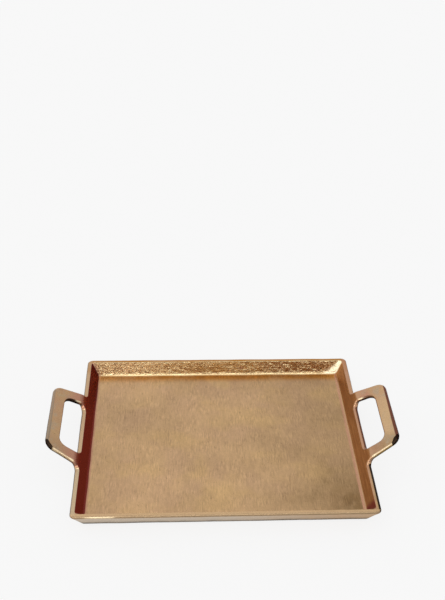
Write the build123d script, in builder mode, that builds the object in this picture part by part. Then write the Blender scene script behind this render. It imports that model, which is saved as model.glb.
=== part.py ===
from build123d import *

import os
from math import cos, radians, sin, tan

# A cast serving tray with two upswept loop handles. The handles are castings of their own: their feet
# sit in notches in the rim and are brazed in, flush with the wall. Four felt pads are glued in seats
# under the corners.
# Millimetres. +X runs from handle to handle and +Z is up. The origin is the centre of the footprint
# on the table, at the underside of the pads.

# ---- driving dimensions -------------------------------------------------------------------------
body_length = 402.0  # across the rim, without the handles
body_width = 314.0
casting_height = 26.0  # from the foot ring to the rim's top
well_depth = 17.0
floor_thickness = 3.0
rim_width = 7.5
outer_flare = 13.5  # how far the base is set in from the rim, on each side
inner_flare = 10.0  # how far the floor is set in from the rim's inner edge

rim_corner = 7.0
base_corner = 5.0
well_corner = 4.5
floor_corner = 4.0
floor_fillet = 4.0
rim_outer_round = 2.0
rim_inner_round = 1.5
base_round = 2.0

ring_width = 13.0  # the flat foot ring round the recessed underside
recess_draft = 2.0
recess_corner = 8.0
recess_round = 1.5

pad_diameter = 12.0
pad_thickness = 3.0
pad_stand = 2.0  # how far the pads stand below the foot ring
pad_inset = 8.5  # from the base's edges to the middle of a pad
pad_bevel = 0.4
seat_clearance = 0.2

handle_tilt = 34.0  # degrees above the horizontal
handle_thickness = 6.0
handle_reach = 43.3  # up the slope, from over the rim's outer edge to the grip's outer edge
grip_width = 19.2
handle_lift = 10.4  # height of the arm's top face above the rim, over the rim's outer edge
arm_root_half = 67.0  # half the distance between the arms' outer sides, over the rim's outer edge
arm_tip_half = 58.2  # the same at the grip's outer edge
hole_root_half = 47.5  # half the length of the finger hole, over the rim's outer edge
hole_tip_half = 44.3  # the same at the grip
grip_corner = 15.0
hole_corner = 13.0
kink_radius = 12.0  # in the top face, where the wall's slope turns into the arm's
bend_radius = 6.0  # in the underside, at the same turn
handle_round = 2.5

notch_depth = 10.0  # how deep the handle feet sit in the wall
notch_corner = 3.0
foot_outer_margin = 8.0  # how much wider the foot is than its arm, away from the finger hole
foot_inner_margin = 12.0  # the same, towards the finger hole

# ---- construction allowances: how far cutters and hidden ends run past the faces they cross ------
leg_overlap = 4.0
cutter_margin = 30.0
skin_margin = 5.0
root_clearance = 0.5  # edges this close to the plate's hidden lower end stay sharp
tangent_limit = 0.9  # cosine above which two faces count as running on into each other

# ---- levels and slopes that follow --------------------------------------------------------------
ring_bottom = pad_stand
rim_top = ring_bottom + casting_height
floor_top = rim_top - well_depth
recess_top = floor_top - floor_thickness
seat_roof = pad_thickness
notch_bottom = rim_top - notch_depth
arm_top = rim_top + handle_lift

half_length = body_length / 2
base_length = body_length - 2 * outer_flare
base_width = body_width - 2 * outer_flare
inner_slope = inner_flare / well_depth  # run outwards for each millimetre of rise
outer_slope = outer_flare / casting_height
tilt = radians(handle_tilt)


def rounded_outline(length, width, corner, height):
    """A rounded rectangle, centred on the tray, at the given height."""
    with BuildSketch(Plane.XY.offset(height)) as outline:
        RectangleRounded(length, width, corner)
    return outline.sketch


def wall_inside(height):
    """X of the inner end wall's face at a height, also where it is carried on above the rim."""
    return half_length - rim_width + inner_slope * (height - rim_top)


def wall_outside(height):
    """X of the outer end wall's face at a height, also where it is carried on above the rim."""
    return half_length + outer_slope * (height - rim_top)


# ---- casting: the whole tray wall, before the handle notches are cut ----------------------------
with BuildPart() as casting:
    base_face = rounded_outline(base_length, base_width, base_corner, ring_bottom)
    rim_face = rounded_outline(body_length, body_width, rim_corner, rim_top)
    loft([base_face, rim_face], ruled=True)

    well_length = body_length - 2 * rim_width
    well_width = body_width - 2 * rim_width
    floor_length = well_length - 2 * inner_flare
    floor_width = well_width - 2 * inner_flare
    floor_face = rounded_outline(floor_length, floor_width, floor_corner, floor_top)
    well_mouth = rounded_outline(well_length, well_width, well_corner, rim_top)
    loft([floor_face, well_mouth], ruled=True, mode=Mode.SUBTRACT)

    recess_length = base_length - 2 * ring_width
    recess_width = base_width - 2 * ring_width
    recess_mouth = rounded_outline(recess_length, recess_width, recess_corner, ring_bottom)
    recess_end = rounded_outline(
        recess_length - 2 * recess_draft, recess_width - 2 * recess_draft, recess_corner, recess_top
    )
    loft([recess_mouth, recess_end], ruled=True, mode=Mode.SUBTRACT)

    floor = casting.faces().filter_by(Plane.XY).sort_by_distance((0, 0, floor_top))[0]
    fillet(floor.outer_wire().edges(), floor_fillet)

    rim = casting.faces().filter_by(Plane.XY).sort_by(Axis.Z)[-1]
    fillet(rim.outer_wire().edges(), rim_outer_round)
    rim = casting.faces().filter_by(Plane.XY).sort_by(Axis.Z)[-1]
    fillet(rim.inner_wires()[0].edges(), rim_inner_round)

    ring = casting.faces().filter_by(Plane.XY).sort_by(Axis.Z)[0]
    fillet(ring.outer_wire().edges(), base_round)
    ring = casting.faces().filter_by(Plane.XY).sort_by(Axis.Z)[0]
    fillet(ring.inner_wires()[0].edges(), recess_round)

    pad_spacing_x = base_length - 2 * pad_inset
    pad_spacing_y = base_width - 2 * pad_inset
    with BuildSketch(Plane.XY.offset(ring_bottom)):
        with GridLocations(pad_spacing_x, pad_spacing_y, 2, 2):
            Circle(pad_diameter / 2 + seat_clearance)
    extrude(amount=seat_roof - ring_bottom, mode=Mode.SUBTRACT)


# ---- notches: open-topped slots through the right-hand end wall, one for each handle foot -------
foot_outer = arm_root_half + foot_outer_margin
foot_inner = hole_root_half - foot_inner_margin
foot_middle = (foot_outer + foot_inner) / 2

with BuildPart() as notches:
    with BuildSketch(Plane.YZ.offset(half_length)):
        with Locations((-foot_middle, notch_bottom), (foot_middle, notch_bottom)):
            Rectangle(
                foot_outer - foot_inner, notch_depth + skin_margin, align=(Align.CENTER, Align.MIN)
            )
    extrude(amount=cutter_margin, both=True)
    fillet(notches.edges().filter_by(Axis.X).group_by(Axis.Z)[0], notch_corner)

with BuildPart() as tray_body:
    add(casting.part)
    add(notches.part, mode=Mode.SUBTRACT)
    add(mirror(notches.part, about=Plane.YZ, mode=Mode.PRIVATE), mode=Mode.SUBTRACT)

with BuildPart() as feet:
    add(casting.part)
    add(notches.part, mode=Mode.INTERSECT)


# ---- bent plate: a strip that carries on the end wall, then turns out over the rim --------------
def turn_point(rise, slope, wall):
    """Where a wall face, carried on upwards, meets a face of the tilted arm."""
    height = rim_top + rise / (1 - slope * tan(tilt))
    return (wall(height), height)


kink = turn_point(handle_lift - rim_width * tan(tilt), inner_slope, wall_inside)
bend = turn_point(handle_lift - handle_thickness / cos(tilt), outer_slope, wall_outside)
tip_top = (half_length + handle_reach * cos(tilt), arm_top + handle_reach * sin(tilt))
tip_low = (
    tip_top[0] + handle_thickness * sin(tilt),
    tip_top[1] - handle_thickness * cos(tilt),
)
leg_root = rim_top - leg_overlap

with BuildPart() as bent_plate:
    with BuildSketch(Plane.XZ):
        with BuildLine():
            inner_leg = (wall_inside(leg_root), leg_root)
            outer_leg = (wall_outside(leg_root), leg_root)
            Polyline(inner_leg, kink, tip_top, tip_low, bend, outer_leg, close=True)
        make_face()
    extrude(amount=foot_outer, both=True)
    for corner, radius in ((kink, kink_radius), (bend, bend_radius)):
        cross_edges = bent_plate.edges().filter_by(Axis.Y)
        fillet(cross_edges.sort_by_distance((corner[0], 0, corner[1]))[0], radius)


# ---- handle loop: the plate cut to its outline, with the finger hole ----------------------------
slope_plane = Plane(
    origin=(half_length, 0, arm_top),
    x_dir=(cos(tilt), 0, sin(tilt)),
    z_dir=(-sin(tilt), 0, cos(tilt)),
)
hole_reach = handle_reach - grip_width


def sloped_outline(root_half, tip_half, reach, corner):
    """An outline up the slope that narrows to its rounded tip and is carried on past its root."""
    taper = (root_half - tip_half) / reach
    low_half = root_half + taper * cutter_margin
    with BuildSketch(slope_plane) as outline:
        with BuildLine():
            Polyline(
                (-cutter_margin, -low_half),
                (reach, -tip_half),
                (reach, tip_half),
                (-cutter_margin, low_half),
                close=True,
            )
        make_face()
        fillet(outline.vertices().group_by(Axis.X)[-1], corner)
    return outline.sketch


def meets_at_angle(edge, faces):
    """True where the two faces that share an edge aren't tangent to each other."""
    normals = [face.normal_at(edge @ 0.5) for face in faces if edge in face.edges()]
    return len(normals) == 2 and normals[0].dot(normals[1]) < tangent_limit


with BuildPart() as loop_handle:
    add(bent_plate.part)
    grip_outline = sloped_outline(arm_root_half, arm_tip_half, handle_reach, grip_corner)
    extrude(grip_outline, amount=2 * cutter_margin, both=True, mode=Mode.INTERSECT)
    hole_outline = sloped_outline(hole_root_half, hole_tip_half, hole_reach, hole_corner)
    extrude(hole_outline, amount=2 * cutter_margin, both=True, mode=Mode.SUBTRACT)
    outer_edges = loop_handle.edges().filter_by(lambda edge: edge.center().Z > leg_root + root_clearance)
    all_faces = loop_handle.faces()
    fillet(outer_edges.filter_by(lambda edge: meets_at_angle(edge, all_faces)), handle_round)

with BuildPart() as right_handle:
    add(feet.part)
    add(loop_handle.part)

with BuildPart() as left_handle:
    mirror(right_handle.part, about=Plane.YZ)


# ---- output: one file for each piece ------------------------------------------------------------
os.makedirs("parts", exist_ok=True)

tray_body.part.label = "tray_body"
export_step(tray_body.part, "parts/tray_body.step")
right_handle.part.label = "right_handle"
export_step(right_handle.part, "parts/right_handle.step")
left_handle.part.label = "left_handle"
export_step(left_handle.part, "parts/left_handle.step")

for row, y in (("front", -pad_spacing_y / 2), ("back", pad_spacing_y / 2)):
    for column, x in (("left", -pad_spacing_x / 2), ("right", pad_spacing_x / 2)):
        with BuildPart() as foot_pad:
            with Locations((x, y, 0)):
                Cylinder(pad_diameter / 2, pad_thickness, align=(Align.CENTER, Align.CENTER, Align.MIN))
            chamfer(foot_pad.edges().group_by(Axis.Z)[0], pad_bevel)
        foot_pad.part.label = f"foot_pad_{row}_{column}"
        export_step(foot_pad.part, f"parts/{foot_pad.part.label}.step")
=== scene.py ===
import math

import bmesh
import bpy
from mathutils import Matrix, Vector, noise


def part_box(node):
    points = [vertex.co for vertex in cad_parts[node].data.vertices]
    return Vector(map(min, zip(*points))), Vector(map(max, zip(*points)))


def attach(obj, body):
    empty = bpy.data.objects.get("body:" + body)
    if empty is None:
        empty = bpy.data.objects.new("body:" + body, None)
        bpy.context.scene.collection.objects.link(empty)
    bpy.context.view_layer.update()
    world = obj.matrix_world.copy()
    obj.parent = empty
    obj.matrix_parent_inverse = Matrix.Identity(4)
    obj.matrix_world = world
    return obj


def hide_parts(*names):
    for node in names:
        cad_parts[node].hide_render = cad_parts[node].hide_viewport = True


# A cast brass serving tray with two loop handles and felt pads. Metres, in the frame's own axes:
# +X runs from handle to handle, +Y from the front wall to the back wall, +Z up.
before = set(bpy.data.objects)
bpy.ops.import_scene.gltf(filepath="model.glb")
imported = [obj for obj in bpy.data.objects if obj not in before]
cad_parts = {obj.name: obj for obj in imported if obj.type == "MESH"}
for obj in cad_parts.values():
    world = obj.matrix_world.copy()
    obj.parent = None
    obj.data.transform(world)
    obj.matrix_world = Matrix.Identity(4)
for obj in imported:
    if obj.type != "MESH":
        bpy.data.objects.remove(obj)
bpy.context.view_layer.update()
body_low, body_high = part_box("tray_body")
handle_low, handle_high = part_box("right_handle")

MM = 0.001

# ---- casting: section of the wall ---------------------------------------------------------------
RIM_WIDTH = 7.5 * MM
WELL_DEPTH = 17 * MM
FLOOR_THICKNESS = 3 * MM
INNER_FLARE = 10 * MM
OUTER_FLARE = 13.5 * MM
RING_WIDTH = 13 * MM
RECESS_DRAFT = 2 * MM
RIM_OUTER_ROUND = 2 * MM
RIM_INNER_ROUND = 1.5 * MM
FLOOR_FILLET = 7 * MM
BASE_ROUND = 2 * MM
RECESS_ROUND = 1.5 * MM
RECESS_FILLET = 2.5 * MM

rim_top = body_high.z
ring_bottom = body_low.z
casting_height = rim_top - ring_bottom
floor_top = rim_top - WELL_DEPTH
recess_top = floor_top - FLOOR_THICKNESS
inner_slope = INNER_FLARE / WELL_DEPTH
outer_slope = OUTER_FLARE / casting_height

# The rounded rim stops short of the sharp corner that the section is drawn from.
outer_corner_angle = math.atan2(1, outer_slope)
rim_setback = RIM_OUTER_ROUND * (1 / math.tan(outer_corner_angle / 2) - 1)
half_length = body_high.x + rim_setback
half_width = body_high.y + rim_setback

# ---- handles ------------------------------------------------------------------------------------
TILT = math.radians(34)
HANDLE_THICKNESS = 6 * MM
HANDLE_REACH = 43.3 * MM
GRIP_WIDTH = 19.2 * MM
HANDLE_LIFT = 10.4 * MM
ARM_ROOT_HALF = 67 * MM
ARM_TIP_HALF = 58.2 * MM
HOLE_ROOT_HALF = 47.5 * MM
HOLE_TIP_HALF = 44.3 * MM
GRIP_CORNER = 15 * MM
HOLE_CORNER = 13 * MM
KINK_RADIUS = 12 * MM
BEND_RADIUS = 6 * MM
HANDLE_ROUND = 2.5 * MM
OUTER_WEB = 6.5 * MM
HOLE_WEB = 10.5 * MM
NOTCH_DEPTH = 10 * MM
FOOT_INNER_MARGIN = 12 * MM
foot_outer = handle_high.y
foot_inner = HOLE_ROOT_HALF - FOOT_INNER_MARGIN
notch_bottom = rim_top - NOTCH_DEPTH


# ---- section and outline tools ------------------------------------------------------------------
def fillet_points(before, corner, after, radius, steps):
    """Points of the arc that rounds a corner between two straight stretches, ends included."""
    to_before = (before - corner).normalized()
    to_after = (after - corner).normalized()
    half_angle = to_before.angle(to_after) / 2
    centre = corner + (to_before + to_after).normalized() * (radius / math.sin(half_angle))
    start = corner + to_before * (radius / math.tan(half_angle)) - centre
    end = corner + to_after * (radius / math.tan(half_angle)) - centre
    turn = start.angle(end)
    points = []
    for step in range(steps + 1):
        share = step / steps
        a = math.sin((1 - share) * turn) / math.sin(turn)
        b = math.sin(share * turn) / math.sin(turn)
        points.append(centre + start * a + end * b)
    return points


def rounded_section(corners, longest, steps=6):
    """A section line through (inset, height, round, plan radius) corners, as closely spaced points.

    Each point keeps its inset, its height and the plan radius of the outline there."""
    line = []
    for index, (inset, height, radius, plan) in enumerate(corners):
        here = Vector((inset, height, 0))
        if radius == 0 or index in (0, len(corners) - 1):
            line.append((here, plan))
            continue
        before = Vector((*corners[index - 1][:2], 0))
        after = Vector((*corners[index + 1][:2], 0))
        line.extend((point, plan) for point in fillet_points(before, here, after, radius, steps))
    points = [(*line[0][0][:2], line[0][1])]
    for (start, start_plan), (end, end_plan) in zip(line, line[1:]):
        pieces = max(1, math.ceil((end - start).length / longest))
        for piece in range(1, pieces + 1):
            share = piece / pieces
            inset, height = start.lerp(end, share)[:2]
            points.append((inset, height, start_plan + (end_plan - start_plan) * share))
    return points


def spaced(start, end, count):
    """count evenly spaced values from start, end left out."""
    return [start + (end - start) * step / count for step in range(count)]


LONG_STEPS = 260
END_STEPS = 40
FOOT_STEPS = 15
MIDDLE_STEPS = 44
CORNER_STEPS = 8


def outline(inset, height, radius):
    """A rounded rectangle round the tray, anticlockwise from the front left.

    It always has the same number of points."""
    x, y = half_length - inset, half_width - inset
    points = []

    def corner(centre_x, centre_y, start):
        for step in range(CORNER_STEPS):
            angle = start + math.pi / 2 * step / CORNER_STEPS
            out_x, out_y = radius * math.cos(angle), radius * math.sin(angle)
            points.append((centre_x + out_x, centre_y + out_y))

    stops = [-(y - radius), -foot_outer, -foot_inner, foot_inner, foot_outer, y - radius]
    counts = [END_STEPS, FOOT_STEPS, MIDDLE_STEPS, FOOT_STEPS, END_STEPS]
    side = [v for low, high, n in zip(stops, stops[1:], counts) for v in spaced(low, high, n)]
    across = spaced(-(x - radius), x - radius, LONG_STEPS)
    points += [(v, -y) for v in across]
    corner(x - radius, -(y - radius), -math.pi / 2)
    points += [(x, v) for v in side]
    corner(x - radius, y - radius, 0)
    points += [(-v, y) for v in across]
    corner(-(x - radius), y - radius, math.pi / 2)
    points += [(-x, -v) for v in side]
    corner(-(x - radius), -(y - radius), math.pi)
    return [Vector((px, py, height)) for px, py in points]


SIDE_STEPS = 2 * END_STEPS + 2 * FOOT_STEPS + MIDDLE_STEPS
SHARP_ANGLE = math.radians(50)


class Shape:
    """Vertices and faces, gathered before they become a mesh."""

    def __init__(self):
        self.points = []
        self.faces = []

    def add(self, points):
        """Adds points and returns their numbers."""
        start = len(self.points)
        self.points.extend(Vector(point) for point in points)
        return list(range(start, len(self.points)))

    def face(self, corners):
        """Adds a face, leaving out repeated corners."""
        kept = [c for n, c in enumerate(corners) if c != corners[n - 1]]
        if len(kept) > 2:
            self.faces.append(kept)

    def bridge(self, first, second, closed=True):
        """Joins two rows of the same length with quads."""
        count = len(first)
        for n in range(count if closed else count - 1):
            m = (n + 1) % count
            self.face([first[n], first[m], second[m], second[n]])

    def to_mesh(self, name):
        """Makes the mesh object, smooth shaded with its sharp edges kept."""
        mesh = bpy.data.meshes.new(name)
        mesh.from_pydata([tuple(p) for p in self.points], [], self.faces)
        work = bmesh.new()
        work.from_mesh(mesh)
        loose = [vertex for vertex in work.verts if not vertex.link_faces]
        bmesh.ops.delete(work, geom=loose, context="VERTS")
        bmesh.ops.recalc_face_normals(work, faces=work.faces)
        work.to_mesh(mesh)
        work.free()
        mesh.polygons.foreach_set("use_smooth", [True] * len(mesh.polygons))
        mesh.set_sharp_from_angle(angle=SHARP_ANGLE)
        made = bpy.data.objects.new(name, mesh)
        bpy.context.scene.collection.objects.link(made)
        return made


def cap(shape, ring, height):
    """Fills a square-cornered ring with a grid in line with its side points."""
    x_row = ring[:LONG_STEPS]
    y_start = LONG_STEPS + CORNER_STEPS
    y_row = ring[y_start : y_start + SIDE_STEPS]
    back_start = y_start + SIDE_STEPS + CORNER_STEPS
    back_row = ring[back_start : back_start + LONG_STEPS]
    left_start = back_start + LONG_STEPS + CORNER_STEPS
    left_row = ring[left_start : left_start + SIDE_STEPS]
    corners = [x_row[0], y_row[0], back_row[0], left_row[0]]
    rows = [x_row + [corners[1]]]
    xs = [shape.points[n].x for n in rows[0]]
    for step in range(1, SIDE_STEPS):
        y = shape.points[y_row[step]].y
        inside = shape.add((x, y, height) for x in xs[1:-1])
        rows.append([left_row[SIDE_STEPS - step]] + inside + [y_row[step]])
    rows.append([corners[3]] + back_row[:0:-1] + [corners[2]])
    for lower, upper in zip(rows, rows[1:]):
        shape.bridge(lower, upper, closed=False)


# ---- cast surface: unevenness that is really in the metal ---------------------------------------
SWELL = 0.22 * MM
SWELL_SIZE = 30 * MM
LUMPS = 0.05 * MM
LUMP_SIZE = 4 * MM
FLOOR_SWELL = 0.10 * MM
FLOOR_SWELL_SIZE = 55 * MM

# The hammering of the long inner walls, as fractal noise.
RELIEF = 0.40 * MM
RELIEF_SIZE = 4.0 * MM
RELIEF_ROUGHNESS = 0.7
RELIEF_FINENESS = 2.1
RELIEF_OCTAVES = 3

# The long inner walls sweep forward into the well's corners.
SWEEP = 1.2 * MM
SWEEP_LOW_REACH = 22 * MM
SWEEP_TOP_REACH = 8 * MM

# Where each kind of surface starts and where it is fully reached.
LEVEL_NORMAL = (0.9, 0.99)
ABOVE_FLOOR = (floor_top + 1 * MM, floor_top + 3 * MM)
WALL_FOOT = (floor_top, floor_top + 2 * MM)
WALL_NORMAL = (0.5, 0.8)
WALL_BAND = (half_width - 30 * MM, half_width - 25 * MM)


def ramp(low, high, value):
    """0 below low, 1 above high, and smooth in between."""
    share = min(1, max(0, (value - low) / (high - low)))
    return share * share * (3 - 2 * share)


def cast_height(point, normal):
    """How far the metal stands proud of its drawn shape at a point."""
    flat_floor = ramp(*LEVEL_NORMAL, normal.z) * (1 - ramp(*ABOVE_FLOOR, point.z))
    swell = SWELL * noise.noise(point / SWELL_SIZE) * (1 - flat_floor)
    swell += FLOOR_SWELL * noise.noise(point / FLOOR_SWELL_SIZE) * flat_floor
    lumps = LUMPS * noise.noise(point / LUMP_SIZE) * (1 - flat_floor)
    long_wall = ramp(*WALL_NORMAL, -normal.y * math.copysign(1, point.y))
    long_wall *= ramp(*WALL_FOOT, point.z)
    long_wall *= ramp(*WALL_BAND, abs(point.y))
    fractal = (RELIEF_ROUGHNESS, RELIEF_FINENESS, RELIEF_OCTAVES)
    hammered = noise.fractal(point / RELIEF_SIZE, *fractal)
    wall_end = half_length - RIM_WIDTH + inner_slope * (point.z - rim_top)
    share = ramp(floor_top, rim_top, point.z)
    sweep_reach = SWEEP_LOW_REACH + (SWEEP_TOP_REACH - SWEEP_LOW_REACH) * share
    near_corner = min(1, max(0, 1 - (wall_end - abs(point.x)) / sweep_reach))
    sweep = SWEEP * near_corner * near_corner * long_wall
    return swell + lumps + RELIEF * hammered * long_wall * (1 - near_corner) + sweep


def point_normals(shape, faces):
    """The smooth normal, out of the metal, at each point of the closed shape of these faces."""
    mesh = bpy.data.meshes.new("normals")
    mesh.from_pydata([tuple(p) for p in shape.points], [], faces)
    work = bmesh.new()
    work.from_mesh(mesh)
    bmesh.ops.recalc_face_normals(work, faces=work.faces)
    work.normal_update()
    normals = [vertex.normal.copy() for vertex in work.verts]
    work.free()
    bpy.data.meshes.remove(mesh)
    return normals


# ---- tray body ----------------------------------------------------------------------------------
WELL_PLAN = 4.5 * MM
FLOOR_PLAN = 4 * MM
FLOOR_START = 9 * MM
RIM_PLAN = 7 * MM
BASE_PLAN = 5 * MM
RECESS_PLAN = 8 * MM
SECTION_STEP = 1.2 * MM
SAME_HEIGHT = 0.0001 * MM


def body_section():
    """The wall's section from the floor's edge, over the rim and round to the recess."""
    floor_inset = RIM_WIDTH + INNER_FLARE
    ring_inset = OUTER_FLARE + RING_WIDTH
    recess_inset = ring_inset + RECESS_DRAFT
    corners = [
        (floor_inset + FLOOR_START, floor_top, 0, 0),
        (floor_inset, floor_top, FLOOR_FILLET, FLOOR_PLAN),
        (RIM_WIDTH + inner_slope * NOTCH_DEPTH, notch_bottom, 0, WELL_PLAN),
        (RIM_WIDTH, rim_top, RIM_INNER_ROUND, WELL_PLAN),
        (0, rim_top, RIM_OUTER_ROUND, RIM_PLAN),
        (outer_slope * NOTCH_DEPTH, notch_bottom, 0, RIM_PLAN),
        (OUTER_FLARE, ring_bottom, BASE_ROUND, BASE_PLAN),
        (ring_inset, ring_bottom, RECESS_ROUND, RECESS_PLAN),
        (recess_inset, recess_top, RECESS_FILLET, RECESS_PLAN),
        (recess_inset + RECESS_PLAN, recess_top, 0, 0),
    ]
    return rounded_section(corners, SECTION_STEP)


def notch_columns():
    """First and last side point of each notch, counted round the outline."""
    right = LONG_STEPS + CORNER_STEPS
    left = right + SIDE_STEPS + CORNER_STEPS + LONG_STEPS + CORNER_STEPS
    first = END_STEPS
    second = END_STEPS + FOOT_STEPS + MIDDLE_STEPS
    starts = [side + offset for side in (right, left) for offset in (first, second)]
    return [(start, start + FOOT_STEPS) for start in starts]


def make_tray_body():
    """The cast tray: rings round the wall, a grid for the floor and one for the underside."""
    shape = Shape()
    section = body_section()
    rings = [shape.add(outline(*station)) for station in section]
    heights = [height for _, height, _ in section]
    levels = [n for n, height in enumerate(heights) if abs(height - notch_bottom) < SAME_HEIGHT]
    first_level, last_level = levels[0], levels[-1]

    for ring, height in ((rings[0], floor_top), (rings[-1], recess_top)):
        merge_corners(ring)
        cap(shape, ring, height)

    notches = notch_columns()
    notch_faces = []
    for level, (lower, upper) in enumerate(zip(rings, rings[1:])):
        count = len(lower)
        for n in range(count):
            m = (n + 1) % count
            quad = [lower[n], lower[m], upper[m], upper[n]]
            cut = any(first <= n < last for first, last in notches)
            if cut and first_level <= level < last_level:
                notch_faces.append(quad)
            else:
                shape.face(quad)

    normals = point_normals(shape, shape.faces + notch_faces)
    for point, normal in zip(shape.points, normals):
        point += normal * cast_height(point, normal)

    for first, last in notches:
        for column in (first, last):
            shape.faces.append([rings[n][column] for n in range(first_level, last_level + 1)])
        inner = [rings[first_level][n] for n in range(first, last + 1)]
        outer = [rings[last_level][n] for n in range(first, last + 1)]
        shape.bridge(inner, outer, closed=False)
    return shape.to_mesh("cast_tray_body")


def merge_corners(ring):
    """Makes each corner's coincident points one point, so that the ring is a plain rectangle."""
    starts = [
        LONG_STEPS,
        LONG_STEPS + CORNER_STEPS + SIDE_STEPS,
        2 * LONG_STEPS + 2 * CORNER_STEPS + SIDE_STEPS,
        2 * LONG_STEPS + 3 * CORNER_STEPS + 2 * SIDE_STEPS,
    ]
    count = len(ring)
    for start in starts:
        kept = ring[(start + CORNER_STEPS) % count]
        for n in range(start, start + CORNER_STEPS):
            ring[n] = kept


# ---- handles ------------------------------------------------------------------------------------
def wall_inside(height):
    return half_length - RIM_WIDTH + inner_slope * (height - rim_top)


def wall_outside(height):
    return half_length + outer_slope * (height - rim_top)


def turn_point(rise, slope, wall):
    """Where a wall face, carried on upwards, meets a face of the tilted arm."""
    height = rim_top + rise / (1 - slope * math.tan(TILT))
    return Vector((wall(height), 0, height))


class FaceLine:
    """One face of the bent plate seen from the end: up the wall, round the turn, out to the tip.

    The line runs 0 to 1 from the notch's floor to the rim, to 2 and 3 at the turn's ends, and to 4
    at the tip."""

    def __init__(self, wall, turn, radius, tip):
        top = Vector((wall(rim_top), 0, rim_top))
        foot = Vector((wall(notch_bottom), 0, notch_bottom))
        up = (turn - top).normalized()
        out = (tip - turn).normalized()
        self.tangent = radius * math.tan(up.angle(out) / 2)
        self.radius = radius
        self.stops = [foot, top, turn - up * self.tangent, turn + out * self.tangent, tip]
        self.normals = [Vector((-way.z, 0, way.x)) for way in (up, out)]
        self.centre = self.stops[2] - self.normals[0] * radius
        self.rise = (turn - top).length

    def at(self, place):
        """Point and normal at a place along the line."""
        if place <= 2 or place >= 3:
            stop = min(3, max(0, int(place)))
            if stop == 2:
                stop = 1
            point = self.stops[stop].lerp(self.stops[stop + 1], place - stop)
            return point, self.normals[0 if stop < 2 else 1]
        normal = self.normals[0].slerp(self.normals[1], place - 2)
        return self.centre + normal * self.radius, normal


arm_top = rim_top + HANDLE_LIFT
out_way = Vector((math.cos(TILT), 0, math.sin(TILT)))
tip_top = Vector((half_length, 0, arm_top)) + HANDLE_REACH * out_way
tip_low = tip_top + HANDLE_THICKNESS * Vector((math.sin(TILT), 0, -math.cos(TILT)))
kink = turn_point(HANDLE_LIFT - RIM_WIDTH * math.tan(TILT), inner_slope, wall_inside)
bend = turn_point(HANDLE_LIFT - HANDLE_THICKNESS / math.cos(TILT), outer_slope, wall_outside)
top_line = FaceLine(wall_inside, kink, KINK_RADIUS, tip_top)
low_line = FaceLine(wall_outside, bend, BEND_RADIUS, tip_low)

# Reach is measured along the top face, from the rim up.
kink_reach = top_line.rise
kink_slope_reach = (kink.x - half_length) * math.cos(TILT) + (kink.z - arm_top) * math.sin(TILT)
tip_reach = kink_reach + HANDLE_REACH - kink_slope_reach
hole_reach = tip_reach - GRIP_WIDTH
reach_stops = [
    -(top_line.stops[1] - top_line.stops[0]).length,
    0,
    kink_reach - top_line.tangent,
    kink_reach + top_line.tangent,
    tip_reach,
]


def line_place(reach):
    """Place along the face lines for a reach along the top face."""
    for stop in range(4):
        low, high = reach_stops[stop], reach_stops[stop + 1]
        if reach <= high or stop == 3:
            return stop + (reach - low) / (high - low)


def plate_point(reach, across, top):
    """Point and normal on the bent plate's top or underside face."""
    line = top_line if top else low_line
    point, normal = line.at(line_place(reach))
    point = point.copy()
    point.y = across
    return point, (normal if top else -normal)


class Outline:
    """A boundary of the plate, in five stretches.

    It runs along the rim, round a web, up the arm, round a corner and along the grip."""

    def __init__(self, foot, root_half, tip_half, reach, web, corner, outwards):
        slope_start = kink_slope_reach - kink_reach
        taper = (root_half - tip_half) / (reach + slope_start)
        rim_half = root_half - taper * slope_start
        self.sign = outwards
        root = Vector((0, rim_half))
        tip = Vector((reach, tip_half))
        start = Vector((0, foot))
        middle_end = Vector((reach, 0))
        self.stops = [start]
        self.centres = {}
        for before, point, after, radius in ((start, root, tip, web), (root, tip, middle_end, corner)):
            back = (before - point).normalized()
            ahead = (after - point).normalized()
            half_angle = back.angle(ahead) / 2
            run = radius / math.tan(half_angle)
            middle = (back + ahead).normalized()
            self.centres[len(self.stops)] = point + middle * (radius / math.sin(half_angle))
            self.stops += [point + back * run, point + ahead * run]
        self.stops.append(middle_end)

    def at(self, stretch, share):
        """Point, and the direction out of the metal, on one of the five stretches."""
        low, high = self.stops[stretch], self.stops[stretch + 1]
        if stretch in self.centres:
            centre = self.centres[stretch]
            a, b = low - centre, high - centre
            turn = a.angle(b)
            spoke = (a * math.sin((1 - share) * turn) + b * math.sin(share * turn)) / math.sin(turn)
            along = (b - a * (a.dot(b) / a.length_squared)).normalized() * math.cos(share * turn)
            along -= a.normalized() * math.sin(share * turn)
            point = centre + spoke
        else:
            point = low.lerp(high, share)
            along = (high - low).normalized()
        return point, Vector((-along.y, along.x)) * self.sign


STRETCH_STEPS = (2, 9, 26, 12, 30)
FACE_STEPS = FOOT_STEPS
ROUND_STEPS = 5
SIDE_FACE_STEPS = 2
FOOT_LEVELS = 9
FOOT_TOP_END = 1.5 * MM
FOOT_LOW_END = 4.0 * MM
FOOT_OVERLAP = 0.6 * MM
FOOT_END_INSET = 3 * MM
FOOT_END_DEPTH = 0.3 * MM
WALK = 0.1 * MM
WEB_STRETCH = 1
NO_NORMAL = Vector((0, 0, 0))


def walk_in(place, outwards, distance, top):
    """The place reached after going a distance inwards over a face from a boundary point."""
    last = plate_point(*place, top)[0]
    gone = 0
    while gone < distance:
        ahead = place - outwards * WALK
        point = plate_point(*ahead, top)[0]
        step = (point - last).length
        share = min(1, (distance - gone) / step)
        place = place.lerp(ahead, share)
        gone += step
        last = point
    return place


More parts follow.
